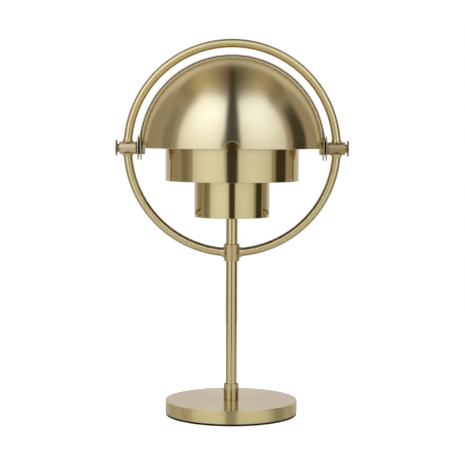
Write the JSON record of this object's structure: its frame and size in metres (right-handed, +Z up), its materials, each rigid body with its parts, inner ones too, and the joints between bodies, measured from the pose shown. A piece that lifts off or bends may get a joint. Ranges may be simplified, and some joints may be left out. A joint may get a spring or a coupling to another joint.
{
  "type": "desk lamp",
  "caption": "Desk lamp whose dome is split into nested quarter-sphere shades that swing on pivots in a ring, above stacked drums, on a slim stem with a round weighted base.",
  "frame": {"origin": "middle of the underside of the foot pad, on the stem's axis", "axes": "+Z up along the stem, +X to the right along the pivot axis of the shades, the front looks along -Y"},
  "size_m": [0.3086, 0.244, 0.5],
  "materials": {
    "lacquered_brass": "fine satin brushing under clear lacquer",
    "blasted_brass": "bead-blasted matte under clear lacquer",
    "nickel_steel": "bright nickel plate",
    "black_fibre": "matte black friction fibre",
    "black_rubber": "matte",
    "cast_iron": "as cast, painted grey",
    "zinc_steel": "zinc plate",
    "white_steel": "white powder coat, matte",
    "black_moulding": "moulded, semi-gloss",
    "holder_brass": "bright rolled screw shell",
    "cap_nickel": "bright rolled cap",
    "opal_glass": "opal white"
  },
  "bodies": {
    "stand": {"foot_pad": "black_rubber", "base_cover": "lacquered_brass", "base_weight": "cast_iron", "cord_bush": "black_rubber", "stem_tube": "lacquered_brass", "stem_washer": "zinc_steel", "stem_nut": "zinc_steel", "base_collar": "lacquered_brass", "grub_screws": "nickel_steel", "ring_boss": "blasted_brass", "upper_ring_arc": "lacquered_brass", "lower_right_ring_arc": "lacquered_brass", "lower_left_ring_arc": "lacquered_brass", "right_barrel": "blasted_brass", "left_barrel": "blasted_brass", "right_pivot_screw": "lacquered_brass", "left_pivot_screw": "lacquered_brass", "end_washers": "nickel_steel", "outer_friction_washers": "black_fibre", "right_clamp_nut": "lacquered_brass", "left_clamp_nut": "lacquered_brass", "outer_drum": "lacquered_brass", "inner_drum": "lacquered_brass", "upper_carrier": "white_steel", "lower_carrier": "white_steel", "holder_nipple": "nickel_steel", "holder_cap": "black_moulding", "holder_body": "black_moulding", "holder_shell": "holder_brass", "bulb_cap": "cap_nickel", "bulb_glass": "opal_glass"},
    "front_shade": {"front_shade": "lacquered_brass", "inner_friction_washers": "black_fibre"},
    "back_shade": {"back_shade": "lacquered_brass"}
  },
  "joints": [
    {"name": "front_shade_swing", "type": "hinge", "parent": "stand", "child": "front_shade", "pos_m": [0, 0, 0.3558], "axis": [1, 0, 0], "range_deg": [-175, 90]},
    {"name": "back_shade_swing", "type": "hinge", "parent": "stand", "child": "back_shade", "pos_m": [0, 0, 0.3558], "axis": [1, 0, 0], "range_deg": [-90, 175]}
  ]
}
